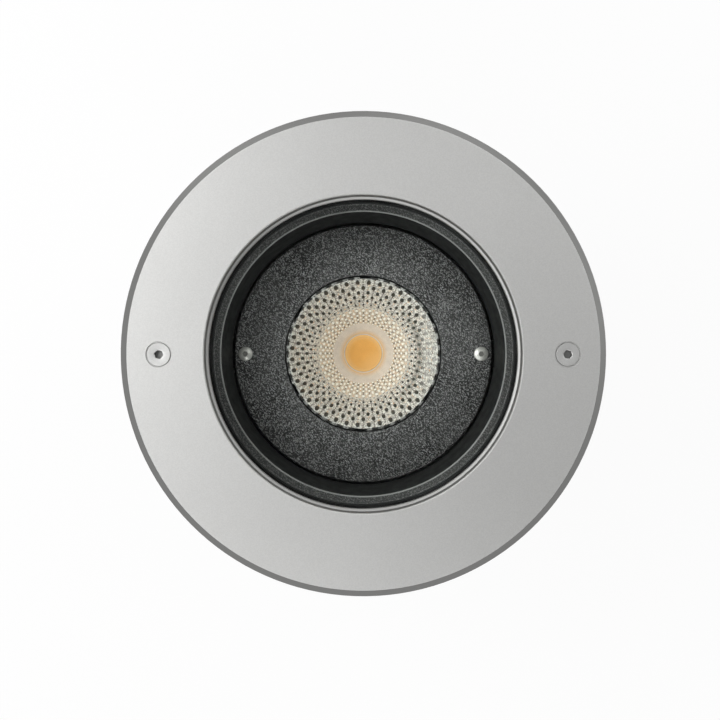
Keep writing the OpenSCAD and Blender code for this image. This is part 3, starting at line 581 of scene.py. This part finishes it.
def finish(name):
    """The material of that name, made on its first use."""
    found = bpy.data.materials.get(name)
    if found is None or found.get("uplight_finish") is None:
        if found is not None:
            found.name = name + "_from_cad"
        if name in GRAINED:
            rough, options = GRAINED[name]
            found = grained(name, rough, **options)
        else:
            found = DRAWN[name](colours(), sizes())
        found["uplight_finish"] = True
    return found


# Meshes

DOUBLES = 2e-6  # Corners of a CAD mesh that are closer than this are one


def new_object(name, data):
    """A new object in the scene, at the origin."""
    made = bpy.data.objects.new(name, data)
    bpy.context.scene.collection.objects.link(made)
    return made


def object_from(bm, name):
    """A new object from a mesh in the making, which is let go."""
    mesh = bpy.data.meshes.new(name)
    bm.to_mesh(mesh)
    bm.free()
    return new_object(name, mesh)


def smooth(mesh, sharp_angle=math.radians(35)):
    """Smooth shading, with edges over the angle kept sharp."""
    mesh.polygons.foreach_set("use_smooth", [True] * len(mesh.polygons))
    mesh.set_sharp_from_angle(angle=sharp_angle)
    mesh.update()


def modify(made, kind, **settings):
    """Adds a modifier with its settings."""
    modifier = made.modifiers.new(kind.lower(), kind)
    set_all(modifier, settings)
    return modifier


def freeze(made):
    """Turns what the modifiers show into the object's plain mesh, and removes them."""
    graph = bpy.context.evaluated_depsgraph_get()
    mesh = bpy.data.meshes.new_from_object(made.evaluated_get(graph), preserve_all_data_layers=True,
                                           depsgraph=graph)
    made.modifiers.clear()
    old = made.data
    made.data = mesh
    bpy.data.meshes.remove(old)
    mesh.name = made.name
    return made


def coat(made, finish_name):
    """Gives an object one finish all over."""
    slots, material = made.data.materials, finish(finish_name)
    for i in range(len(slots)):
        slots[i] = material
    if not slots:
        slots.append(material)


def settle(made, body, finish_name, *nodes):
    """Coats a piece and puts it on its body, in place of its CAD nodes."""
    coat(made, finish_name)
    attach(made, body)
    if nodes:
        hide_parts(*nodes)


def softened_copy(node, name, width, segments=2):
    """A copy of a CAD node with its doubles merged and its sharp edges rounded."""
    bm = bmesh.new()
    bm.from_mesh(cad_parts[node].data)
    bmesh.ops.remove_doubles(bm, verts=bm.verts, dist=DOUBLES)
    bmesh.ops.dissolve_limit(bm, angle_limit=math.radians(0.5), verts=bm.verts, edges=bm.edges)
    bmesh.ops.dissolve_degenerate(bm, dist=1e-6, edges=bm.edges)
    made = object_from(bm, name)
    mesh = made.data
    for layer in [a.name for a in mesh.attributes if a.name == "custom_normal"]:
        mesh.attributes.remove(mesh.attributes[layer])
    while mesh.uv_layers:
        mesh.uv_layers.remove(mesh.uv_layers[0])
    mesh.materials.clear()
    mesh.polygons.foreach_set("use_smooth", [True] * len(mesh.polygons))
    modify(made, "BEVEL", width=width, segments=segments, limit_method="ANGLE", angle_limit=math.radians(32),
           use_clamp_overlap=True, harden_normals=True)
    return freeze(made)


def dress(node, way, body, finish_name, width, segments=2):
    """Replaces a CAD node by its softened copy, which is named for the node and the way it is made."""
    settle(softened_copy(node, node + "_" + way, width, segments), body, finish_name, node)


def rounded(corners, steps=3):
    """An outline from corners of radius, height and rounding, with an arc at each rounded corner."""
    outline = []
    for i, (r, z, rounding) in enumerate(corners):
        here = Vector((r, z))
        if not rounding:
            outline.append(here)
            continue
        back = Vector(corners[i - 1][:2]) - here
        ahead = Vector(corners[(i + 1) % len(corners)][:2]) - here
        turn = back.angle(ahead)
        cut = min(rounding / math.tan(turn / 2), back.length * 0.49, ahead.length * 0.49)
        start, end = here + back.normalized() * cut, here + ahead.normalized() * cut
        for k in range(steps + 1):
            t = k / steps
            outline.append(start.lerp(here, t).lerp(here.lerp(end, t), t))
    return outline


def skinned(name, rings, loop):
    """An object with faces from each ring of points to the next. A ring of one point is a pole.

    The last ring is joined to the first, or else both ends are capped.
    """
    bm = bmesh.new()
    rings = [[bm.verts.new(point) for point in ring] for ring in rings]
    for ring, other in zip(rings, rings[1:] + rings[:loop]):
        steps = max(len(ring), len(other))
        for k in range(steps if steps > 1 else 0):
            n = (k + 1) % steps
            corners = [ring[k % len(ring)], ring[n % len(ring)], other[n % len(other)], other[k % len(other)]]
            bm.faces.new(list(dict.fromkeys(corners)))
    if not loop:
        bm.faces.new(rings[0])
        bm.faces.new(rings[-1])
    bmesh.ops.recalc_face_normals(bm, faces=bm.faces)
    return object_from(bm, name)


def turned(name, outline, steps=128):
    """A solid of revolution round Z from a closed outline of radius and height."""
    turns = [TAU * k / steps for k in range(steps)]
    rings = [[(r * math.cos(turn), r * math.sin(turn), z) for turn in turns] if r > 1e-7 else [(0, 0, z)]
             for r, z in outline]
    return skinned(name, rings, True)


def with_hex_socket(screw, radius, top, depth):
    """Cuts an upright six-sided socket with a small lead-in into a screw's head."""
    bm = bmesh.new()
    tall = depth + 0.001  # So the cutter stands out of the head
    bmesh.ops.create_cone(bm, cap_ends=True, segments=6, radius1=radius, radius2=radius, depth=tall)
    bmesh.ops.translate(bm, verts=bm.verts, vec=(0, 0, top - depth + tall / 2))
    cutter = object_from(bm, "cutter")
    low, high = top - 0.0003, top + 0.0001
    cone = turned("cutter_cone", [(0, low), (radius * 0.86, low), (radius * 1.14, high), (0, high)], 36)
    for tool in (cutter, cone):
        modify(screw, "BOOLEAN", operation="DIFFERENCE", object=tool, solver="EXACT")
    freeze(screw)
    for tool in (cutter, cone):
        bpy.data.objects.remove(tool)
    smooth(screw.data, math.radians(50))
    # Keeps flat faces flat where they meet rounded edges
    modify(screw, "WEIGHTED_NORMAL", keep_sharp=True, weight=100)
    freeze(screw)


# Geometry Nodes

KINDS = {int: "NodeSocketInt", float: "NodeSocketFloat", bpy.types.Object: "NodeSocketObject",
         bpy.types.Material: "NodeSocketMaterial"}


def grow(name, draw, **values):
    """An object grown by a new tree from the values of its named inputs. Its modifier is still live.

    draw adds the tree's own nodes, and returns the geometry they make. Its instances are then made
    real, and it gets the one material.
    """
    tree = bpy.data.node_groups.new(draw.__name__, "GeometryNodeTree")
    tree.interface.new_socket("geometry", in_out="OUTPUT", socket_type="NodeSocketGeometry")
    sockets = {label: tree.interface.new_socket(label, in_out="INPUT", socket_type=KINDS[type(value)])
               for label, value in values.items()}
    graph = Graph(tree)
    outputs = tree.nodes.new("NodeGroupInput").outputs
    given = {label: Value(graph, outputs[label]) for label in values}
    material = given.pop("material")
    real = graph.take("GeometryNodeRealizeInstances", {0: draw(graph, **given)})
    coated = graph.take("GeometryNodeSetMaterial", {"Geometry": real, "Material": material})
    graph.add("NodeGroupOutput", {0: coated})
    made = new_object(name, bpy.data.meshes.new(name))
    modifier = modify(made, "NODES", node_group=tree)
    for label, socket in sockets.items():
        modifier[socket.identifier] = values[label]
    return made


def ring_of_parts(g, part, count, radius, spin):
    """Copies of one object round the upright axis."""
    angle = g.take("GeometryNodeInputIndex") * g.calc("DIVIDE", TAU, count)
    place = g.at(radius * g.calc("COSINE", angle), radius * g.calc("SINE", angle))
    return g.take("GeometryNodeInstanceOnPoints", {
        "Points": g.take("GeometryNodePoints", {"Count": count, "Position": place}),
        "Instance": g.take("GeometryNodeObjectInfo", {"Object": part}, "Geometry"),
        "Rotation": g.at(z=angle + spin)})


def ring_of_screws(node, screw, count, radius, body, finish_name, spin=0.0):
    """Replaces a CAD node by copies of a screw round the axis. The one screw is removed."""
    made = freeze(grow(node + "_steel", ring_of_parts, part=screw, count=count, radius=radius, spin=spin,
                       material=finish(finish_name)))
    bpy.data.objects.remove(screw)
    settle(made, body, finish_name, node)


def facets(g, facets_round, rows, samples, depth, row_ratio, origin, reach, rim, mouth, rim_height, mouth_height):
    """The reflector's inside: staggered rows of pillow facets on a parabolic bowl."""
    grid = g.take("GeometryNodeMeshGrid", {
        "Size X": 1.0, "Size Y": 1.0, "Vertices X": facets_round * samples + 1.0,
        "Vertices Y": rows * samples + 1.0})
    u, v, _ = g.axes(g.take("GeometryNodeInputPosition"))
    around = u + 0.5
    # The small number keeps a vertex between two rows from falling into either by chance
    row = (v + 0.5) * rows + 0.0001
    column = around * facets_round + g.stagger(row)

    def hump(value):
        part = g.calc("FRACT", value)
        return part * (1.0 - part) * 4.0

    z = origin + reach * g.calc("POWER", row_ratio, row)
    slope = (rim * rim - mouth * mouth) / (rim_height - mouth_height)
    climbed = g.calc("MAXIMUM", z - mouth_height, 0.0)
    r = g.calc("SQRT", mouth * mouth + slope * climbed)
    lean = slope / (r * 2.0)
    long_side = g.calc("SQRT", lean * lean + 1.0)
    inward = hump(column) * hump(row) * (depth * (r / rim)) / long_side
    angle = around * TAU
    shifted = r - inward
    place = g.at(shifted * g.calc("COSINE", angle), shifted * g.calc("SINE", angle),
                 g.calc("MINIMUM", z + inward * lean, rim_height))
    shaped = g.take("GeometryNodeSetPosition", {"Geometry": grid, "Position": place})
    return g.take("GeometryNodeMergeByDistance", {"Geometry": shaped, "Distance": 0.000005})


# Operators, one for each piece or group of like pieces


class MakeTrimRing(bpy.types.Operator):
    """Make the bead-blasted trim ring with its edges broken"""

    bl_idname = "uplight.trim_ring"
    bl_label = "Trim ring"

    def execute(self, context):
        dress("trim_ring", "blasted", "fitting", "blasted_steel", sizes().turned_round, 3)
        return {"FINISHED"}


class MakeTrimScrews(bpy.types.Operator):
    """Make the two countersunk socket screws in the trim ring"""

    bl_idname = "uplight.trim_screws"
    bl_label = "Trim screws"

    def execute(self, context):
        low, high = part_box("trim_screws")
        top, head = high.z, high.y
        shank, point, rim = 0.00295, 0.0004, 0.0006
        screw = turned("countersunk", rounded([
            (0, low.z, 0), (shank - point, low.z, 0), (shank, low.z + point, 0),
            (shank, top - rim - (head - shank), 0), (head, top - rim, 0), (head, top, 0.00012),
            (0, top, 0)]), 96)
        with_hex_socket(screw, TRIM_SOCKET, top, 0.0026)
        ring_of_screws("trim_screws", screw, 2, high.x - head, "fitting", "blasted_heads", spin=0.3)
        return {"FINISHED"}


class MakeCastings(bpy.types.Operator):
    """Make the painted castings with rounded edges: glass frame, pot and gear pot"""

    bl_idname = "uplight.castings"
    bl_label = "Castings"

    def execute(self, context):
        dress("glass_frame", "cast", "fitting", "frame_black", 0.0004, 3)
        for node in ("pot", "gear_pot"):
            dress(node, "cast", "fitting", "black_casting", sizes().casting_round)
        return {"FINISHED"}


class MakeBaffle(bpy.types.Operator):
    """Make the textured baffle plate with its rounded edges"""

    bl_idname = "uplight.baffle"
    bl_label = "Baffle plate"

    def execute(self, context):
        dress("baffle_plate", "textured", "optic", "textured_black", 0.0002)
        return {"FINISHED"}


class MakeBaffleScrews(bpy.types.Operator):
    """Make the two button-head screws on the baffle plate"""

    bl_idname = "uplight.baffle_screws"
    bl_label = "Baffle screws"

    def execute(self, context):
        low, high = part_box("baffle_screws")
        head, seat = high.y, top_of("baffle_plate")
        flank = 0.0009
        cap = high.z - seat - flank
        dome_radius = (head * head + cap * cap) / (2 * cap)
        dome = [(r, high.z - dome_radius + math.sqrt(dome_radius ** 2 - r * r), 0)
                for r in (head * (1 - k / 8) for k in range(1, 9))]
        screw = turned("button", rounded([
            (0, low.z, 0), (SHANK, low.z, 0), (SHANK, seat, 0), (head, seat, 0),
            (head, seat + flank, 0.00025)] + dome), 64)
        with_hex_socket(screw, BUTTON_SOCKET, high.z, 0.0013)
        ring_of_screws("baffle_screws", screw, 2, high.x - head, "optic", "button_steel", spin=0.4)
        return {"FINISHED"}


class MakePotScrews(bpy.types.Operator):
    """Make the six cap screws that hold the gear pot up against the pot"""

    bl_idname = "uplight.pot_screws"
    bl_label = "Pot screws"

    def execute(self, context):
        low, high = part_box("pot_screws")
        head, head_height = 0.0035, 0.0028
        seat = low.z + head_height
        # The heads face down, so the screw is drawn head up and then turned over
        screw = turned("cap", rounded([
            (0, seat - high.z, 0), (SHANK, seat - high.z, 0), (SHANK, 0, 0), (head, 0, 0),
            (head, head_height, 0.0004), (0, head_height, 0)]), 48)
        with_hex_socket(screw, CAP_SOCKET, head_height, 0.0017)
        for vertex in screw.data.vertices:
            x, y, z = vertex.co
            vertex.co = (x, -y, seat - z)
        ring_of_screws("pot_screws", screw, 6, high.x - head, "fitting", "screw_steel")
        return {"FINISHED"}


class MakeReflector(bpy.types.Operator):
    """Line the reflector with its silvered facets"""

    bl_idname = "uplight.reflector"
    bl_label = "Reflector"

    def execute(self, context):
        s = sizes()
        origin, reach, rim, mouth = row_numbers()
        lining = grow(
            "reflector_facets", facets, facets_round=s.facets_round, rows=s.facet_rows, samples=s.facet_samples,
            depth=s.facet_depth, row_ratio=s.row_ratio, origin=origin, reach=reach, rim=s.bowl_radius,
            mouth=s.mouth_radius, rim_height=rim, mouth_height=mouth, material=finish("silvered"))
        modify(lining, "SOLIDIFY", thickness=0.0003, offset=-1.0)
        smooth(freeze(lining).data, math.radians(60))
        settle(lining, "optic", "silvered")
        dress("reflector", "shell", "optic", "reflector_shell", 0.00045, 3)
        return {"FINISHED"}


class MakeLamp(bpy.types.Operator):
    """Make the frosted lamp holder, the amber emitter, and the board and pad under them"""

    bl_idname = "uplight.lamp"
    bl_label = "Lamp"

    def execute(self, context):
        for node, way, width, finish_name in (
                ("lamp_holder", "frosted", 0.0002, "frosted_plastic"),
                ("led_emitter", "domed", 0.0001, "amber_phosphor"),
                ("led_board", "routed", 0.0003, "white_plastic"),
                ("thermal_pad", "cut", 0.0001, "pad_silicone")):
            dress(node, way, "optic", finish_name, width, 3)
        return {"FINISHED"}


class MakeGlass(bpy.types.Operator):
    """Make the walk-over glass with its ground edge"""

    bl_idname = "uplight.glass"
    bl_label = "Glass"

    def execute(self, context):
        dress("glass", "clear", "fitting", "clear_glass", 0.0002)
        return {"FINISHED"}


class MakeLampLead(bpy.types.Operator):
    """Make the lamp lead, which bends between the lamp and the pan ring as the optic tilts"""

    bl_idname = "uplight.lamp_lead"
    bl_label = "Lamp lead"

    def execute(self, context):
        low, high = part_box("lamp_lead")
        radius, sides = sizes().lead_radius, 20
        top, far, level = high.z - radius, high.y - radius, 0.090
        small, large = 0.005, 0.010
        # Each bend: its middle, its radius, and the angles in degrees that it runs between
        bends = ((far - small, top - small, small, 90, 0), (far - large, level + large, large, 0, -90),
                 (large, level - large, large, 90, 180))
        path = [(0.024, top), (0.026, top)]
        for y, z, bend, start, end in bends:
            turns = [math.radians(start + (end - start) * k / 8) for k in range(9)]
            path += [(y + bend * math.cos(turn), z + bend * math.sin(turn)) for turn in turns]
            if bend == small:
                path += [(far, top - small - 0.0026 * k) for k in range(1, 8)]
        path += [(0, z) for z in (0.076, 0.072, 0.068, 0.064, 0.060, 0.056, 0.052, low.z)]
        path = [Vector((0, y, z)) for y, z in path]
        side = Vector((1, 0, 0))
        turns = [TAU * k / sides for k in range(sides)]
        rings = []
        for i, point in enumerate(path):
            along = (path[min(i + 1, len(path) - 1)] - path[max(i - 1, 0)]).normalized()
            over = along.cross(side)
            rings.append([point + radius * (math.cos(turn) * side + math.sin(turn) * over) for turn in turns])
        lead = skinned("lamp_lead_bent", rings, False)
        smooth(lead.data)
        coat(lead, "white_lead")
        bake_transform(lead, "optic", "pan", start=(0, 0, 0.118), end=(0, 0, 0.078))
        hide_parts("lamp_lead")
        return {"FINISHED"}


class MakeEntries(bpy.types.Operator):
    """Make the cable glands, the plugs and the output socket with moulded edges"""

    bl_idname = "uplight.entries"
    bl_label = "Glands and plugs"

    def execute(self, context):
        for node in ("gland_bodies", "gland_caps", "vent_plug"):
            dress(node, "moulded", "fitting", "gland_plastic", 0.0005)
        dress("blanking_plug", "moulded", "fitting", "gland_plastic", 0.0003)
        dress("output_socket", "moulded", "fitting", "grey_plastic", 0.0003)
        return {"FINISHED"}


# CAD nodes that stay as they are, by the finish they get
KEPT = {
    "black_rubber": ("trim_gasket", "glass_seal", "tray_grommet", "gland_seals", "gland_o_rings"),
    "screw_steel": ("frame_screws", "cone_screws", "keeper_washers", "keeper_screws", "tray_screws",
                    "driver_screws", "tilt_pins", "holder_screws", "heat_sink_screws", "earth_terminal"),
    "zinc_sheet": ("gear_pillars", "gear_tray", "pan_ring"),
    "nylon": ("tilt_washers",),
    "red_silicone": ("frame_o_ring", "pot_o_ring"),
    "smooth_black": ("glare_cone",),
    "white_plastic": ("led_driver",),
    "grey_plastic": ("terminal_block",),
    "brass_screws": ("terminal_screws",),
    "lead_plastic": ("driver_leads",),
    "earth_plastic": ("earth_lead",),
    "black_casting": ("tilt_frame",),
    "bare_aluminium": ("heat_sink",),
}


class FinishKeptParts(bpy.types.Operator):
    """Give every CAD part that stays its own finish"""

    bl_idname = "uplight.kept_parts"
    bl_label = "Finishes of the kept parts"

    def execute(self, context):
        for finish_name, nodes in KEPT.items():
            for node in nodes:
                coat(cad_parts[node], finish_name)
        return {"FINISHED"}


LAMP_DISTANCE = 1.2  # From the middle of the window
# Each soft lamp: name, azimuth and elevation in degrees, size in metres, power in watts
LAMPS = (("left", 180, 40, 0.6, 5.1), ("front_left", 225, 40, 0.6, 2.7), ("front", 270, 40, 0.6, 3.9),
         ("back_right", 45, 60, 0.5, 1.8), ("back_left", 150, 50, 0.5, 4.6), ("low_right", 15, 12, 0.8, 3.0),
         ("low_back", 70, 12, 0.8, 4.0), ("low_left", 125, 12, 0.8, 4.0))
# Narrow lamps, by name and place. They stand where the glass doesn't mirror them to the camera
SPOTS = (("spot_left", (-0.31, 0.36, 1.25)), ("spot_right", (0.44, -0.10, 1.25)))
SPOT_SHAPE = {"spot_size": math.radians(7.2), "spot_blend": 0.6, "shadow_soft_size": 0.015}
# X and Y of the camera and of what it looks at, which is level with the window
CAMERA_PLACE, CAMERA_AIM = (0.001, 0.00375), (-0.0015, -0.0027)
FLOOR_WHITE = 0.93  # Share of the floor that shows as plain white


class MakeStudio(bpy.types.Operator):
    """Make the floor, the soft light and the camera above the fitting"""

    bl_idname = "uplight.studio"
    bl_label = "Studio"

    def execute(self, context):
        given = context.scene.uplight_studio
        self.floor()
        self.room(given.room_level)
        window = Vector((0, 0, top_of("trim_ring")))
        for name, azimuth, elevation, size, watts in LAMPS:
            turn, rise = math.radians(azimuth), math.radians(elevation)
            away = Vector((math.cos(turn) * math.cos(rise), math.sin(turn) * math.cos(rise), math.sin(rise)))
            self.lamp(name, "AREA", window, LAMP_DISTANCE * away, watts * given.lamp_share, size=size)
        for name, stand in SPOTS:
            spot = self.lamp(name, "SPOT", window, Vector(stand) - window, given.spot_power * given.lamp_share,
                             **SPOT_SHAPE)
            # Its small bright face would show as a hard glint in the glass
            spot.visible_glossy = False
        data = bpy.data.cameras.new("camera")
        data.lens = given.focal_length
        data.sensor_width = 36.0
        camera = new_object("camera", data)
        stand = Vector((*CAMERA_PLACE, given.camera_height))
        back = (stand - Vector((*CAMERA_AIM, window.z))).normalized()
        up = back.cross(Vector((1, 0, 0))).normalized()
        turn = Matrix((up.cross(back), up, back)).transposed()
        camera.matrix_world = Matrix.Translation(stand) @ turn.to_4x4()
        context.scene.camera = camera
        context.scene.view_settings.view_transform = "Standard"
        return {"FINISHED"}

    def floor(self):
        """A wide pale floor that curves up into a wall. It shows white, and keeps the fitting's soft shadow."""
        level, wide, high, bend, thick = -0.0003, 5.5, 2.6, 1.5, 0.02
        floor = turned("floor", rounded([
            (0, level, 0), (wide, level, bend), (wide, high, 0), (wide + thick, high, 0),
            (wide + thick, level - thick, 0), (0, level - thick, 0)], 12))
        f = Finish("floor_pale")
        matt = f.take("ShaderNodeBsdfDiffuse", {"Color": f.mix(f.spread(f.noise(0.4)), (0.80,) * 3, (0.83,) * 3)})
        camera, glossy, through = (f.take("ShaderNodeLightPath", output=ray)
                                   for ray in ("Is Camera Ray", "Is Glossy Ray", "Is Transmission Ray"))
        seen = f.calc("MAXIMUM", camera, f.calc("MAXIMUM", glossy, through))
        white = f.take("ShaderNodeEmission", {"Color": (1, 1, 1, 1), "Strength": 1.0})
        # The rest of it is matt, and keeps the fitting's shadow
        shown = f.take("ShaderNodeMixShader", {0: seen * FLOOR_WHITE, 1: matt, 2: white})
        floor.data.materials.append(f.show(shown))

    def room(self, level):
        """The room's own light, the same from all sides."""
        world = bpy.data.worlds.new("studio_room")
        bpy.context.scene.world = world
        world.use_nodes = True
        graph = Graph(world.node_tree)
        graph.tree.nodes.clear()
        light = graph.take("ShaderNodeBackground", {"Color": (1, 1, 1, 1), "Strength": level})
        graph.add("ShaderNodeOutputWorld", {"Surface": light})

    def lamp(self, name, kind, aim, away, power, **settings):
        """A lamp that stands away from the point that it looks at."""
        data = bpy.data.lights.new(name, kind)
        set_all(data, {"energy": power, **settings})
        made = new_object(name, data)
        made.location = aim + away
        made.rotation_euler = away.to_track_quat("Z", "Y").to_euler()
        return made


MAKERS = (MakeTrimRing, MakeTrimScrews, MakeCastings, MakeBaffle, MakeBaffleScrews, MakePotScrews,
          MakeReflector, MakeLamp, MakeGlass, MakeLampLead, MakeEntries, FinishKeptParts, MakeStudio)


class UplightPanel(bpy.types.Panel):
    """Lists the uplight's pieces, sizes and colours"""

    bl_idname = "VIEW3D_PT_uplight"
    bl_label = "In-ground uplight"
    bl_space_type = "VIEW_3D"
    bl_region_type = "UI"
    bl_category = "Uplight"

    def draw(self, context):
        column = self.layout.column(align=True)
        for maker in MAKERS:
            column.operator(maker.bl_idname)
        for key, group in GROUPS.items():
            box = self.layout.box()
            for name in group.__annotations__:
                box.prop(getattr(context.scene, key), name)


GROUPS = {"uplight_sizes": UplightSizes, "uplight_colours": UplightColours, "uplight_studio": UplightStudio}
CLASSES = (*GROUPS.values(), *MAKERS, UplightPanel)


def register():
    for cls in CLASSES:
        bpy.utils.register_class(cls)
    for key, group in GROUPS.items():
        setattr(bpy.types.Scene, key, PointerProperty(type=group))


def unregister():
    for key in GROUPS:
        delattr(bpy.types.Scene, key)
    for cls in reversed(CLASSES):
        bpy.utils.unregister_class(cls)


def main():
    """Makes every piece in order."""
    for name in ("Cube", "Light", "Camera"):
        # Blender's start-up file may have left these
        if name in bpy.data.objects:
            bpy.data.objects.remove(bpy.data.objects[name])
    register()
    for maker in MAKERS:
        group, name = maker.bl_idname.split(".")
        getattr(getattr(bpy.ops, group), name)()
    bpy.context.view_layer.update()


if __name__ == "__main__":
    main()
